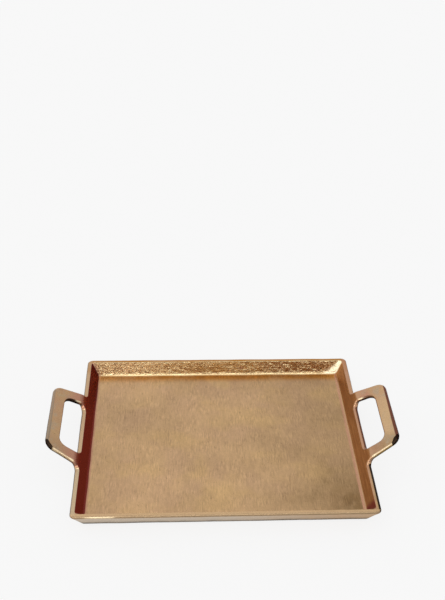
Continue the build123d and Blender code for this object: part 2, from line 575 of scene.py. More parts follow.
def edge_band(place, outwards, rounds):
    """The rounded side of the plate at one boundary point, from the top face to the underside.

    Gives points with normals, and the places on the two faces where the rounding starts."""
    inner = place - outwards * WALK
    corners = [plate_point(*place, top)[0] for top in (True, False)]
    insides = [plate_point(*inner, top)[0] for top in (True, False)]
    arcs, starts = [], []
    for index, radius in enumerate(rounds):
        corner, other = corners[index], corners[1 - index]
        inward = (insides[index] - corner).normalized()
        across = (other - corner).normalized()
        half_angle = inward.angle(across) / 2
        run = radius / math.tan(half_angle)
        centre = corner + (inward + across).normalized() * (radius / math.sin(half_angle))
        spokes = fillet_points(corner + inward, corner, corner + across, radius, ROUND_STEPS)
        arcs.append([(point, (point - centre).normalized()) for point in spokes])
        starts.append(walk_in(place, outwards, run, index == 0))
    low_arc = arcs[1][::-1]
    middle = []
    for step in range(1, SIDE_FACE_STEPS):
        share = step / SIDE_FACE_STEPS
        point = arcs[0][-1][0].lerp(low_arc[0][0], share)
        middle.append((point, arcs[0][-1][1].lerp(low_arc[0][1], share).normalized()))
    return arcs[0] + middle + low_arc, starts


def face_row(start, end, top):
    """Points with normals across a face, both ends left out."""
    row = []
    for step in range(1, FACE_STEPS):
        place = start.lerp(end, step / FACE_STEPS)
        row.append(plate_point(*place, top))
    return row


def handle_station(outer, hole, stretch, share):
    """One loop round the arm or grip, with normals: top face, hole side, underside, outer side."""
    grown = {0: 0, WEB_STRETCH: share * share}.get(stretch, 1)
    rounds = [
        RIM_INNER_ROUND + (HANDLE_ROUND - RIM_INNER_ROUND) * grown,
        RIM_OUTER_ROUND + (HANDLE_ROUND - RIM_OUTER_ROUND) * grown,
    ]
    outer_band, outer_starts = edge_band(*outer.at(stretch, share), rounds)
    hole_band, hole_starts = edge_band(*hole.at(stretch, share), rounds)
    loop = face_row(outer_starts[0], hole_starts[0], True)
    loop += hole_band
    loop += face_row(hole_starts[1], outer_starts[1], False)
    loop += outer_band[::-1]
    return loop


def foot_station(share):
    """One loop round the foot, from the notch's floor at 0 up to the rim's roundings at 1.

    It has as many points as the loops above it. Those on its sides lie inside the body's metal
    and have no normal, so that they stay where they are."""
    band_count = 2 * (ROUND_STEPS + 1) + SIDE_FACE_STEPS - 1
    foot_depth = -reach_stops[0]
    top_depth = foot_depth + (FOOT_TOP_END - foot_depth) * share
    low_depth = foot_depth + (FOOT_LOW_END - foot_depth) * share
    top_outer, top_inner = (Vector((-top_depth, foot)) for foot in (foot_outer, foot_inner))
    low_outer, low_inner = (Vector((-low_depth, foot)) for foot in (foot_outer, foot_inner))
    loop = face_row(top_outer, top_inner, True)
    for across, order in ((foot_inner, 1), (foot_outer, -1)):
        top_point, top_normal = plate_point(-top_depth, across, True)
        low_point, low_normal = plate_point(-low_depth, across, False)
        band = [(top_point, top_normal)]
        for n in range(1, band_count - 1):
            point = top_point.lerp(low_point, n / (band_count - 1))
            if 1 < n < band_count - 2:
                point.y -= FOOT_OVERLAP * order
            band.append((point, NO_NORMAL))
        band.append((low_point, low_normal))
        loop += band[::order]
        if order == 1:
            loop += face_row(low_inner, low_outer, False)
    return loop


def foot_end(loop):
    """The loop that closes the foot, sunk a little way into the notch's floor."""
    middle = sum((point for point, _ in loop), Vector()) / len(loop)
    sunk = []
    for point, _ in loop:
        inwards = middle - point
        inwards.z = 0
        place = point + inwards.normalized() * FOOT_END_INSET
        place.z -= FOOT_END_DEPTH
        sunk.append((place, NO_NORMAL))
    return sunk


def make_handle(name, side):
    """A loop handle: two feet in the wall, two arms that grow out of the rim, and the grip."""
    outer = Outline(foot_outer, ARM_ROOT_HALF, ARM_TIP_HALF, tip_reach, OUTER_WEB, GRIP_CORNER, 1)
    hole = Outline(foot_inner, HOLE_ROOT_HALF, HOLE_TIP_HALF, hole_reach, HOLE_WEB, HOLE_CORNER, -1)
    half = []
    for stretch, steps in enumerate(STRETCH_STEPS):
        for step in range(steps):
            half.append(handle_station(outer, hole, stretch, step / steps))
    half.append(handle_station(outer, hole, len(STRETCH_STEPS) - 1, 1))
    feet = [foot_station(level / (FOOT_LEVELS - 1)) for level in range(FOOT_LEVELS)]
    half = [foot_end(feet[0])] + feet + half

    flip = Vector((side, 1, 1))
    back = Vector((side, -1, 1))
    stations = [[(p * flip, n * flip) for p, n in loop] for loop in half]
    stations += [[(p * back, n * back) for p, n in loop] for loop in half[-2::-1]]

    shape = Shape()
    rings = []
    for loop in stations:
        rings.append(shape.add(p + n * cast_height(p, n) if n.length else p for p, n in loop))
    for first, second in zip(rings, rings[1:]):
        shape.bridge(first, second)
    shape.faces.append(rings[0])
    shape.faces.append(rings[-1][::-1])
    return shape.to_mesh(name)


# ---- felt pads ----------------------------------------------------------------------------------
PAD_SEGMENTS = 64
PAD_EDGE_ROUND = 0.7 * MM
PAD_TOP_ROUND = 0.2 * MM
PAD_HUB = 0.3 * MM
PAD_SECTION_STEP = 0.6 * MM
PAD_ROUND_STEPS = 4
FUZZ = 0.12 * MM
FUZZ_SIZE = 0.9 * MM


def make_pad(node):
    """A felt disc with a soft, fuzzy edge, in the place of its CAD solid."""
    low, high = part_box(node)
    centre = (low + high) / 2
    radius = (high.x - low.x) / 2
    corners = [
        (PAD_HUB, low.z, 0, 0),
        (radius, low.z, PAD_EDGE_ROUND, 0),
        (radius, high.z, PAD_TOP_ROUND, 0),
        (PAD_HUB, high.z, 0, 0),
    ]
    shape = Shape()
    rings = []
    for reach, height, _ in rounded_section(corners, PAD_SECTION_STEP, PAD_ROUND_STEPS):
        ring = []
        for step in range(PAD_SEGMENTS):
            angle = 2 * math.pi * step / PAD_SEGMENTS
            spoke = Vector((math.cos(angle), math.sin(angle), 0))
            point = Vector((centre.x, centre.y, height)) + spoke * reach
            fuzz = FUZZ * noise.noise(point / FUZZ_SIZE) - FUZZ
            ring.append(point + spoke * fuzz * ramp(0.5, 1, reach / radius))
        rings.append(shape.add(ring))
    for first, second in zip(rings, rings[1:]):
        shape.bridge(first, second)
    shape.faces.append(rings[0])
    shape.faces.append(rings[-1][::-1])
    return shape.to_mesh("felt_" + node)


# ---- materials ----------------------------------------------------------------------------------
# Patterns in the metal and felt: the size of their features along x, y and z in metres, then
# their detail, their roughness and a shift that makes each pattern its own.
PATTERNS = {
    "patch": ((0.045, 0.05, 0.045), 3.0, 0.5, 0.0),
    "gold": ((0.07, 0.05, 0.05), 3.0, 0.55, 3.7),
    "rosy": ((0.014, 0.014, 0.014), 3.0, 0.6, 7.3),
    "cool": ((0.011, 0.016, 0.011), 3.0, 0.6, 11.7),
    "cloud": ((0.022, 0.026, 0.022), 4.0, 0.62, 8.1),
    "blotch": ((0.016, 0.02, 0.016), 4.0, 0.6, 21.3),
    "fleck": ((0.0035, 0.0045, 0.0035), 2.0, 0.5, 5.2),
    "amber": ((0.03, 0.02, 0.03), 2.0, 0.5, 12.9),
    "long_wall_streak": ((0.018, 0.0022, 0.0018), 3.0, 0.6, 14.3),
    "end_wall_streak": ((0.0022, 0.040, 0.0022), 3.0, 0.6, 18.9),
    "arm_streak": ((0.003, 0.0009, 0.0009), 2.0, 0.6, 6.1),
    "grit": ((0.0042, 0.0024, 0.0020), 2.0, 0.6, 15.9),
    "stroke": ((0.0014, 0.013, 0.01), 2.0, 0.6, 0.0),
    "broad_stroke": ((0.004, 0.025, 0.01), 2.0, 0.6, 6.6),
    "hair": ((0.00035, 0.010, 0.01), 2.0, 0.6, 1.3),
    "mottle": ((0.005, 0.006, 0.005), 4.0, 0.65, 3.1),
    "brushed_area": ((0.02, 0.02, 0.02), 2.0, 0.5, 9.4),
    "broad_shade": ((0.075, 0.06, 0.06), 2.0, 0.5, 17.7),
    "grain": ((0.0012, 0.0012, 0.0012), 3.0, 0.6, 0.0),
    "dullness": ((0.02, 0.03, 0.02), 3.0, 0.6, 2.2),
    "pits": ((0.0040, 0.0026, 0.0026), 4.0, 0.65, 4.4),
    "skin": ((0.0025, 0.0025, 0.0025), 3.0, 0.55, 2.9),
    "wool_mottle": ((0.002, 0.002, 0.002), 3.0, 0.6, 0.0),
    "fibre": ((0.00018, 0.0009, 0.0009), 2.0, 0.7, 0.0),
    "cross_fibre": ((0.0009, 0.00018, 0.0009), 2.0, 0.7, 2.0),
}


class Value:
    """What a node gives out. Arithmetic with it wires up further nodes."""

    def __init__(self, nodes, socket):
        self.nodes = nodes
        self.socket = socket

    def __add__(self, other):
        return self.nodes.math("ADD", self, other)

    def __radd__(self, other):
        return self.nodes.math("ADD", other, self)

    def __sub__(self, other):
        return self.nodes.math("SUBTRACT", self, other)

    def __rsub__(self, other):
        return self.nodes.math("SUBTRACT", other, self)

    def __mul__(self, other):
        return self.nodes.math("MULTIPLY", self, other)

    def __truediv__(self, other):
        return self.nodes.math("DIVIDE", self, other)

    def __pow__(self, other):
        return self.nodes.math("POWER", self, other)

    def __lt__(self, other):
        return self.nodes.math("LESS_THAN", self, other)

    def __abs__(self):
        return self.nodes.math("ABSOLUTE", self)

    def larger(self, other):
        return self.nodes.math("MAXIMUM", self, other)

    def ramp(self, low, high, start=0.0, end=1.0):
        """start at low, end at high, smooth in between and level beyond; low may be the larger."""
        if low > high:
            low, high, start, end = high, low, end, start
        inputs = {0: self, 1: low, 2: high, 3: start, 4: end}
        return self.nodes.value("MapRange", inputs, interpolation_type="SMOOTHSTEP")


class Nodes:
    """Wires up one node tree. Inputs may be numbers, colours, sockets or values of other nodes."""

    def __init__(self, tree):
        self.tree = tree
        self.coordinates = self.make("TexCoord").outputs

    def make(self, kind, inputs=None, **settings):
        """Adds a node, with its settings and its inputs by name or number."""
        node = self.tree.nodes.new("ShaderNode" + kind)
        for key, value in settings.items():
            setattr(node, key, value)
        self.wire(node, inputs or {})
        return node

    def wire(self, node, inputs):
        """Gives a node's inputs their links, numbers and colours."""
        for key, value in inputs.items():
            self.feed(node.inputs[key], value)

    def value(self, kind, inputs, output=0, **settings):
        """Adds a node and gives one of its outputs."""
        return Value(self, self.make(kind, inputs, **settings).outputs[output])

    def feed(self, socket, value):
        """Gives a socket a link, a number or a colour."""
        if isinstance(value, Value):
            value = value.socket
        if isinstance(value, bpy.types.NodeSocket):
            self.tree.links.new(value, socket)
        elif socket.type == "RGBA":
            socket.default_value = (*value, 1)
        else:
            socket.default_value = value

    def math(self, operation, first, second=0.0):
        return self.value("Math", {0: first, 1: second}, operation=operation)

    def mix(self, share, first, second, blend="MIX"):
        """A colour between two others."""
        inputs = {0: share, 6: first, 7: second}
        return self.value("Mix", inputs, 2, data_type="RGBA", blend_type=blend)

    def mix_number(self, share, first, second):
        """A number between two others."""
        return self.value("Mix", {0: share, 2: first, 3: second})

    def camera_ray(self):
        """1 for what the camera sees directly, and 0 in reflections."""
        return self.value("LightPath", {})

    def parts(self, vector):
        """The x, y and z of a vector."""
        outputs = self.make("SeparateXYZ", {0: vector}).outputs
        return [Value(self, outputs[n]) for n in range(3)]

    def noise(self, pattern):
        """One of the patterns above, as noise from 0 to 1."""
        size, detail, rough, shift = PATTERNS[pattern]
        scale = Vector((1 / size[0], 1 / size[1], 1 / size[2]))
        place = {0: self.coordinates["Object"], 1: (shift, shift, shift), 3: scale}
        inputs = {"Vector": self.value("Mapping", place), "Scale": 1.0}
        inputs.update({"Detail": detail, "Roughness": rough})
        return self.value("TexNoise", inputs)

    def bump(self, height, distance, normal=None):
        """Tilts the surface as a height field, 0 to 1, of the given depth would."""
        inputs = {"Height": height, "Distance": distance, "Strength": 1.0}
        if normal is not None:
            inputs["Normal"] = normal
        return self.value("Bump", inputs)


def new_material(name):
    """A material with an empty Principled shader, and the wiring tool for it."""
    material = bpy.data.materials.new(name)
    material.use_nodes = True
    return material, Nodes(material.node_tree), material.node_tree.nodes["Principled BSDF"]


# Metal colours, and the colours of painted highlights, reflections and shade.
TAN = (0.60, 0.385, 0.205)
PINK = (0.585, 0.372, 0.209)
YELLOW = (0.62, 0.40, 0.195)
OLIVE = (0.33, 0.208, 0.098)
# Painted amber reflection of the back wall in the floor.
AMBER_REFLECTION = (0.50, 0.22, 0.045)
UMBER = (0.21, 0.118, 0.048)
# Pale and cream for painted highlights.
PALE = (1.0, 0.80, 0.52)
CREAM = (1.0, 0.86, 0.60)
ROSE = (0.56, 0.29, 0.185)
BLUSH = (0.57, 0.28, 0.185)
DOVE = (0.50, 0.40, 0.29)
# Painted light on the long walls: lit, middle and shaded tones, glints and shade in the grain.
BRIGHT_WALL = (0.84, 0.575, 0.30)
GOLD_WALL = (0.49, 0.265, 0.088)
BROWN_WALL = (0.31, 0.128, 0.036)
SPARK = (1.0, 0.80, 0.47)
PIT_SHADE = (0.24, 0.10, 0.034)
# Painted copper reflections inside the right end wall.
COPPER_REFLECTION_WALL = (0.38, 0.168, 0.058)
BRIGHT_COPPER_REFLECTION = (0.53, 0.26, 0.095)
# Painted dark red reflections inside the end walls.
RED_REFLECTION_WALL = (0.215, 0.038, 0.030)
DEEP_RED_REFLECTION = (0.13, 0.024, 0.022)
# Painted reflection of the pale floor in the outer faces.
FLOOR_REFLECTION_GREY = (0.73, 0.60, 0.46)
WARM_FLOOR_REFLECTION = (0.68, 0.45, 0.25)
# Painted shade that dims the front rim's outer edge.
SHADED_RIM_EDGE = (0.39, 0.275, 0.165)
# Painted grey on outer edges: reflections and shade.
GREY_EDGE = (0.31, 0.25, 0.19)
LIGHT_GRIP = (0.70, 0.475, 0.265)
LEFT_RIM = (0.64, 0.50, 0.325)
BRONZE_SIDE = (0.50, 0.32, 0.10)
# Painted dark reflection on the right rim's outer edge.
DARK_BROWN_REFLECTION = (0.17, 0.065, 0.040)
# Painted dark red reflection on the right grip's outer edge.
MAROON = (0.15, 0.040, 0.026)
# Painted black reflection, also standing for shade.
BLACK_REFLECTION = (0.012, 0.006, 0.005)

# Tints of the metal's reflections at a glancing angle.
WHITE = (1.0, 1.0, 1.0)
RED_REFLECTION_GLANCE = (1.0, 0.6, 0.55)
BLACK_REFLECTION_GLANCE = (0.1, 0.08, 0.08)

# Depths of the fine relief.
HAIR_DEPTH = 0.02 * MM
STROKE_DEPTH = 0.05 * MM
HAMMER_DEPTH = 0.9 * MM
SKIN_DEPTH = 0.04 * MM


def end(beyond):
    """The reach of a place so many millimetres beyond the sharp end of the rim."""
    return half_length + beyond * MM


def side(beyond):
    """The y of a place so many millimetres beyond the sharp back edge of the rim."""
    return half_width + beyond * MM


def rim(above):
    """The height of a place so many millimetres above the rim."""
    return rim_top + above * MM


class Brass:
    """Old gold brass: cast walls with a fine grain, and a floor brushed from front to back. Much of
    its colour is painted light: highlights, reflections and shade.

    Places on the tray are masks from 0 to 1, and the colour is laid on coat by coat."""

    def __init__(self):
        self.material, self.nodes, shader = new_material("antique_brass")
        self.find_places()
        self.cast_metal()
        self.long_walls()
        self.end_walls()
        self.well_edges()
        self.end_rims()
        self.grip_edges()
        self.arm_sides()
        self.long_rims()
        self.brushing()
        self.nodes.wire(shader, {"Base Color": self.colour, "Metallic": 1.0})
        self.nodes.wire(shader, {"Specular Tint": self.glance(), "Roughness": self.roughness()})
        self.nodes.wire(shader, {"Normal": self.relief()})

    def paint(self, colour, share):
        """Lays a colour over what is there."""
        self.colour = self.nodes.mix(share, self.colour, colour)

    def by_end(self, elsewhere, at_left):
        """One number at the left end of the tray and another everywhere else."""
        return self.left_end.ramp(0.0, 1.0, elsewhere, at_left)

    def find_places(self):
        """Masks for the ends, the halves, the floor, the handles and the walls of the well."""
        nodes = self.nodes
        self.x, self.y, self.z = nodes.parts(nodes.coordinates["Object"])
        self.across, self.along, self.up = nodes.parts(nodes.coordinates["Normal"])
        self.reach = abs(self.x)
        self.sideways = abs(self.across)
        self.left_end = self.x.ramp(-0.15, -0.16)
        self.right_end = self.x.ramp(0.15, 0.16)
        self.front_half = self.y.ramp(0.0, -0.02)
        self.back_half = self.y.ramp(0.0, 0.02)
        low = self.z.ramp(floor_top + 3 * MM, floor_top + 1 * MM)
        self.floor = self.up.ramp(0.9, 0.98) * low
        self.handle = self.reach.ramp(half_length, end(6))

        # How far a point faces the middle of the tray, along each side.
        facing_left = self.across.ramp(-0.6, -0.8)
        facing_right = self.across.ramp(0.3, 0.48)
        inside_rim = self.reach.ramp(end(4), end(-7))
        inside_arms = self.reach.ramp(end(9), end(5))
        # Painted reflections inside the end walls: dark red at the left end, copper at the right end.
        self.red_reflection = facing_right * self.left_end * inside_rim
        self.copper_reflection = facing_left * self.right_end * inside_arms
        self.inwards = self.along * nodes.math("SIGN", self.y) * -1.0
        self.at_long_wall = abs(self.y).ramp(0.12, 0.125)
        self.long_wall = self.inwards.ramp(0.45, 0.7) * self.at_long_wall

    def cast_metal(self):
        """Patches of warmer and yellower metal, tarnish, stains and small dark flecks."""
        nodes, x, y = self.nodes, self.x, self.y
        self.colour = nodes.mix(nodes.noise("patch").ramp(0.38, 0.62), PINK, TAN)
        self.paint(YELLOW, nodes.noise("gold").ramp(0.45, 0.72))

        # The handles: rosy towards their roots, with cooler spots and an olive front arm.
        near_root = self.reach.ramp(end(30), end(8), 0.35, 0.9)
        rosy = nodes.noise("rosy").ramp(0.4, 0.58, 0.25, 1.0) * y.ramp(-0.03, 0.02, 0.3, 1.0)
        self.paint(ROSE, self.handle * rosy * near_root)
        # Painted light: the right grip is painted lighter.
        right_grip = x.ramp(end(14), end(26))
        self.paint(LIGHT_GRIP, right_grip * y.ramp(0.06, 0.01) * 0.75)
        front_arm = y.ramp(-0.035, -0.05)
        self.paint(OLIVE, self.handle * front_arm * self.by_end(0.45, 0.2))
        self.paint(DOVE, self.handle * nodes.noise("cool").ramp(0.5, 0.68, 0.0, 0.55))
        raised = self.z.ramp(rim(0.5), rim(2.5))
        root = self.reach.ramp(end(22), end(2))
        self.paint(BLUSH, raised * root * self.by_end(0.45, 0.95))

        # The floor: duller to the right, stained in the front right corner, with an amber painted
        # reflection of the back wall at the back.
        worn_corner = x.ramp(0.04, 0.17) * y.ramp(0.0, -0.12)
        tarnish = 0.07 + worn_corner * 0.55
        self.paint(OLIVE, nodes.noise("cloud").ramp(0.42, 0.7) * tarnish)
        self.paint(OLIVE, x.ramp(0.02, 0.19) * self.floor * 0.39)
        self.paint(OLIVE, worn_corner * self.floor * 0.42)
        stain = x.ramp(0.125, 0.172) * y.ramp(-0.075, -0.125) * self.floor
        self.paint(UMBER, stain * nodes.noise("blotch").ramp(0.35, 0.62, 0.25, 0.75))
        self.paint(OLIVE, nodes.noise("fleck").ramp(0.64, 0.76) * 0.45)
        amber_patch = nodes.noise("amber").ramp(0.35, 0.6, 0.65, 1.0)
        back_edge = y.ramp(side(-38), side(-25))
        self.paint(AMBER_REFLECTION, back_edge * amber_patch * self.up.ramp(0.5, 0.9) * 0.95)

    def long_walls(self):
        """Painted light on the long walls: bright at the left, shaded brown at the right, streaked
        between and speckled all over with painted glints and shade.
        """
        nodes, x = self.nodes, self.x
        metal = nodes.mix(x.ramp(-0.16, -0.02), BRIGHT_WALL, GOLD_WALL)
        metal = nodes.mix(x.ramp(0.03, 0.11), metal, BROWN_WALL)
        streak = nodes.noise("long_wall_streak")
        metal = nodes.mix(streak.ramp(0.5, 0.64, 0.0, 0.45), metal, SPARK)
        metal = nodes.mix(streak.ramp(0.48, 0.36, 0.0, 0.4), metal, PIT_SHADE)
        grit = nodes.noise("grit")
        gritty = abs(x - 0.01).ramp(0.0, 0.09, 0.25, 1.0)
        metal = nodes.mix(grit.ramp(0.53, 0.63) * gritty * 0.7, metal, SPARK)
        metal = nodes.mix(grit.ramp(0.46, 0.36) * gritty * 0.6, metal, PIT_SHADE)
        self.paint(metal, self.long_wall)

    def end_walls(self):
        """Painted reflections: streaked copper inside the right end, dark red inside the left, and the
        pale floor's grey reflection outside.
        """
        nodes, x, y = self.nodes, self.x, self.y
        streak = nodes.noise("end_wall_streak")
        metal = nodes.mix(streak.ramp(0.5, 0.66, 0.0, 0.5), COPPER_REFLECTION_WALL, BRIGHT_COPPER_REFLECTION)
        metal = nodes.mix(streak.ramp(0.48, 0.36, 0.0, 0.5), metal, BROWN_WALL)
        self.paint(metal, self.copper_reflection)
        # The front end of the right wall also gets the dark red painted reflection.
        front_end = y.ramp(-side(-30), -side(-19))
        self.paint(RED_REFLECTION_WALL, self.copper_reflection * front_end * 0.9)
        dark_red = nodes.mix(y.ramp(0.03, 0.12), RED_REFLECTION_WALL, DEEP_RED_REFLECTION)
        self.paint(dark_red, self.red_reflection)
        # Painted reflection: outer faces that turn down get the pale floor's grey-tan reflection,
        # warmer towards the right.
        outside = self.up.ramp(-0.1, -0.4) * self.z.ramp(0.0, 2 * MM)
        floor_reflection = nodes.mix(x.ramp(-0.02, 0.17), FLOOR_REFLECTION_GREY, WARM_FLOOR_REFLECTION)
        self.paint(floor_reflection, outside)

    def well_edges(self):
        """A painted highlight along the back fillet, and a painted highlight on the sweep into the
        back right corner.
        """
        inwards, sideways = self.inwards, self.sideways
        # Painted highlight along the back wall's fillet.
        fillet = inwards.ramp(0.1, 0.3) * inwards.ramp(0.84, 0.7) * self.at_long_wall
        fillet = fillet * self.back_half * sideways.ramp(0.45, 0.2)
        self.paint(SPARK, fillet * 0.7)

        # Painted highlight: a cream streak on the sweep into the back right corner.
        end_of_wall = half_length - RIM_WIDTH - rim_top * inner_slope
        to_corner = end_of_wall + self.z * inner_slope - self.x
        sweep_reach = self.z.ramp(floor_top, rim_top, SWEEP_LOW_REACH, SWEEP_TOP_REACH)
        corner_highlight = (to_corner / sweep_reach).ramp(1.15, 0.6)
        corner_highlight = corner_highlight * self.back_half * self.at_long_wall
        self.corner_highlight = corner_highlight * inwards.ramp(0.15, 0.4) * self.right_end
        self.paint(CREAM, self.corner_highlight * 0.9)

        in_well = self.reach.ramp(end(-5.5), end(-6.5))
        end_fillet = sideways.ramp(0.06, 0.2) * in_well * sideways.ramp(0.7, 0.5)
        end_fillet = end_fillet * self.up.ramp(0.2, 0.4)
        untinted = 1.0 - self.red_reflection.larger(self.corner_highlight)
        self.paint(ROSE, end_fillet * untinted * 0.8)

    def end_rims(self):
        """The rims of the ends, and their outer edges with painted reflections: grey at the left,
        black at the right.
        """
        nodes, y, reach = self.nodes, self.y, self.reach
        on_rim = reach.ramp(end(-9), end(-7.5)) * self.up.ramp(0.8, 0.95) * (1.0 - self.handle)
        self.paint(ROSE, on_rim * y.ramp(-0.11, -0.06) * self.by_end(0.65, 0.25))
        self.paint(LEFT_RIM, on_rim * self.left_end * y.ramp(0.05, -0.09, 0.3, 0.8))

        # Painted reflections on the outer rim edges below the arms: grey at the left, dark brown to
        # black at the right.
        below_arms = self.z.ramp(rim(1.5), rim(0.5))
        outermost = reach.ramp(end(-3.2), end(-2.4))
        rim_edge = below_arms * outermost
        facing_out = self.across.ramp(-0.1, -0.45)
        self.paint(GREY_EDGE, facing_out * self.left_end * rim_edge * 0.8)
        strip_width = y.ramp(0.075, 0.035, 2.0 * MM, 4.6 * MM)
        strip = half_length - reach < strip_width
        strip_colour = nodes.mix(y.ramp(-0.05, -0.065), DARK_BROWN_REFLECTION, BLACK_REFLECTION)
        self.paint(strip_colour, strip * below_arms * self.right_end * 0.95)

    def grip_edges(self):
        """The grips' outer edges: a dark band of painted reflection, and a black painted reflection in
        a wedge round the front corner.
        """
        out_along = self.reach * math.cos(TILT) + self.z * math.sin(TILT)
        tip_along = tip_top.x * math.cos(TILT) + tip_top.z * math.sin(TILT)
        from_tip = tip_along - out_along
        band_width = self.y.ramp(-0.04, 0.05, 3.8 * MM, 2.4 * MM)
        band = (from_tip - band_width).ramp(0.6 * MM, -0.4 * MM) * self.handle
        # Painted reflections along the grips' outer edges: grey at the left, maroon at the right.
        self.paint(GREY_EDGE, band * self.left_end * 0.7)
        self.paint(MAROON, band * self.right_end * 0.93)

        # Painted reflection: a black wedge on the rounded front corner of each grip.
        corner_x = (GRIP_CORNER - from_tip).larger(0.0)
        corner_y = (self.y * -1.0 - (ARM_TIP_HALF - 0.9 * GRIP_CORNER)).larger(0.0)
        from_centre = (corner_x * corner_x + corner_y * corner_y) ** 0.5
        width = corner_x.ramp(0.5 * MM, 8 * MM) * corner_y.ramp(0.5 * MM, 7 * MM)
        width = width * self.x.ramp(-0.1, 0.1, 2.8 * MM, 5.2 * MM)
        wedge = (GRIP_CORNER - from_centre - width).ramp(0.7 * MM, -1.1 * MM)
        self.wedge = wedge * self.handle * width.ramp(0.3 * MM, 1.8 * MM)
        self.paint(BLACK_REFLECTION, self.wedge * 0.95)

    def arm_sides(self):
        """The sides of the arms that face the front: bronze below, a painted pale highlight above, and
        black painted shade on the back arms.
        """
        nodes, up, along, reach = self.nodes, self.up, self.along, self.reach
        front_side = along.ramp(-0.1, -0.35) * self.handle
        # Painted shade: the back arms' sides that face the hole are black.
        self.paint(BLACK_REFLECTION, front_side * self.back_half * self.by_end(0.6, 0.92))
        front_side = front_side * self.front_half
        no_wedge = 1.0 - self.wedge
        lower_side = front_side * up.ramp(0.55, 0.3) * self.by_end(0.9, 0.35)
        self.paint(BRONZE_SIDE, lower_side * no_wedge)

        beyond_rim = reach.ramp(end(-1), end(1.5)) * self.z.ramp(rim(-3), rim(-1))
        upper_edge = along.ramp(-0.08, -0.25) * beyond_rim * up.ramp(0.25, 0.45)
        upper_edge = upper_edge * reach.ramp(end(9), end(4))
        streak = nodes.noise("arm_streak").ramp(0.4, 0.6, 0.35, 1.0)
        side_light = front_side * up.ramp(-0.5, 0.0) * streak * self.left_end
        edge_light = front_side * up.ramp(0.42, 0.62)
        arm_highlight = (side_light * 0.6).larger(edge_light * 0.7)
        arm_highlight = arm_highlight.larger(upper_edge * 0.95)
        self.paint(PALE, arm_highlight * no_wedge)

    def long_rims(self):
        """The front and back rims, their outer edges darkened with painted shade, and a painted glint
        at the left.
        """
        x, y, along = self.x, self.y, self.along
        front_rim = y.ramp(-side(-8), -side(-6.5)) * self.up.ramp(0.8, 0.95)
        self.paint(LIGHT_GRIP, front_rim * 0.6)
        # Painted shade dims the front rim's outer rounding. A painted glint is kept at its left end.
        front_round = along.ramp(-0.02, -0.15) * y.ramp(-side(-4.6), -side(-3.4))
        front_round = front_round * self.up.ramp(-0.2, 0.1)
        self.paint(SHADED_RIM_EDGE, front_round * 0.85)
        glint = x.ramp(-0.138, -0.15) * x.ramp(-0.186, -0.172) * along.ramp(-0.4, -0.55)
        self.paint(PALE, front_round * glint)
        self.paint(GREY_EDGE, along.ramp(0.1, 0.4) * y.ramp(side(-3), side(-2)) * 0.7)

    def brushing(self):
        """Short soft strokes on the floor with a hairline grain inside them, and a fine grain."""
        nodes, y = self.nodes, self.y
        self.stroke = nodes.noise("stroke")
        self.hair = nodes.noise("hair")
        brushed_area = nodes.noise("brushed_area").ramp(0.42, 0.6, 0.2, 1.0)
        shade = self.stroke.ramp(0.3, 0.7, -0.14, 0.14) * brushed_area
        shades = [
            (nodes.noise("broad_stroke"), 0.035),
            (self.hair, 0.07),
            (nodes.noise("mottle"), 0.04),
        ]
        for pattern, depth in shades:
            shade = shade + pattern.ramp(0.3, 0.7, -depth, depth)
        shade = shade + nodes.noise("broad_shade").ramp(0.35, 0.65, -0.06, 0.06)
        dim_band = y.ramp(-0.09, -0.01) * y.ramp(0.1, 0.05)
        shade = shade - dim_band * 0.06
        speckle = nodes.noise("grain").ramp(0.3, 0.7, 0.93, 1.07)
        shade = (1.0 + shade * self.floor) * speckle
        shaded = nodes.value("CombineColor", {0: shade, 1: shade, 2: shade})
        self.colour = nodes.mix(1.0, self.colour, shaded, "MULTIPLY")

    def glance(self):
        """The tint of reflections at a glancing angle, so that the painted dark reflections stay dark.
        """
        glance = self.nodes.mix(self.red_reflection, WHITE, RED_REFLECTION_GLANCE)
        return self.nodes.mix(self.wedge, glance, BLACK_REFLECTION_GLANCE)

    def roughness(self):
        """Dullest on the floor, the right end wall and the front rim, glossiest on the long walls."""
        nodes = self.nodes
        dull = nodes.noise("dullness").ramp(0.3, 0.7, -0.04, 0.05)
        dull = dull + self.floor.ramp(0.0, 1.0, 0.26, 0.33)
        dull = dull - self.long_wall * 0.14
        dull = dull + self.copper_reflection * 0.16
        facing_front = self.along.ramp(-0.05, -0.2)
        front_rim = facing_front * self.y.ramp(-0.145, -0.15)
        dull = dull + front_rim * 0.16
        return nodes.mix_number(self.corner_highlight * 0.8, dull, 0.42)

    def relief(self):
        """Brush marks on the floor, hammer marks on the long walls and a skin on all the rest."""
        nodes = self.nodes
        normal = nodes.bump(self.hair * self.floor, HAIR_DEPTH)
        normal = nodes.bump(self.stroke * self.floor, STROKE_DEPTH, normal)
        pits = nodes.noise("pits").ramp(0.35, 0.65)
        hammered = pits * self.long_wall * (1.0 - self.corner_highlight)
        normal = nodes.bump(hammered, HAMMER_DEPTH, normal)
        cast = 1.0 - self.floor
        return nodes.bump(nodes.noise("skin") * cast, SKIN_DEPTH, normal)


FELT_DARK = (0.018, 0.012, 0.009)
FELT_LIGHT = (0.07, 0.05, 0.038)
FIBRE_DEPTH = 0.15 * MM


def felt():
    """Dark pressed wool with a haze of loose fibres."""
    material, nodes, shader = new_material("felt")
    fibre = nodes.noise("fibre")
    cross_fibre = nodes.noise("cross_fibre")
    wool = fibre * 0.5 + cross_fibre * 0.5
    share = wool * 0.6 + nodes.noise("wool_mottle") * 0.4
    colour = nodes.mix(share.ramp(0.35, 0.65), FELT_DARK, FELT_LIGHT)
    nodes.wire(shader, {"Base Color": colour, "Normal": nodes.bump(wool, FIBRE_DEPTH)})
    nodes.wire(shader, {"Roughness": 0.95, "Sheen Weight": 0.4, "Sheen Roughness": 0.6})
    return material


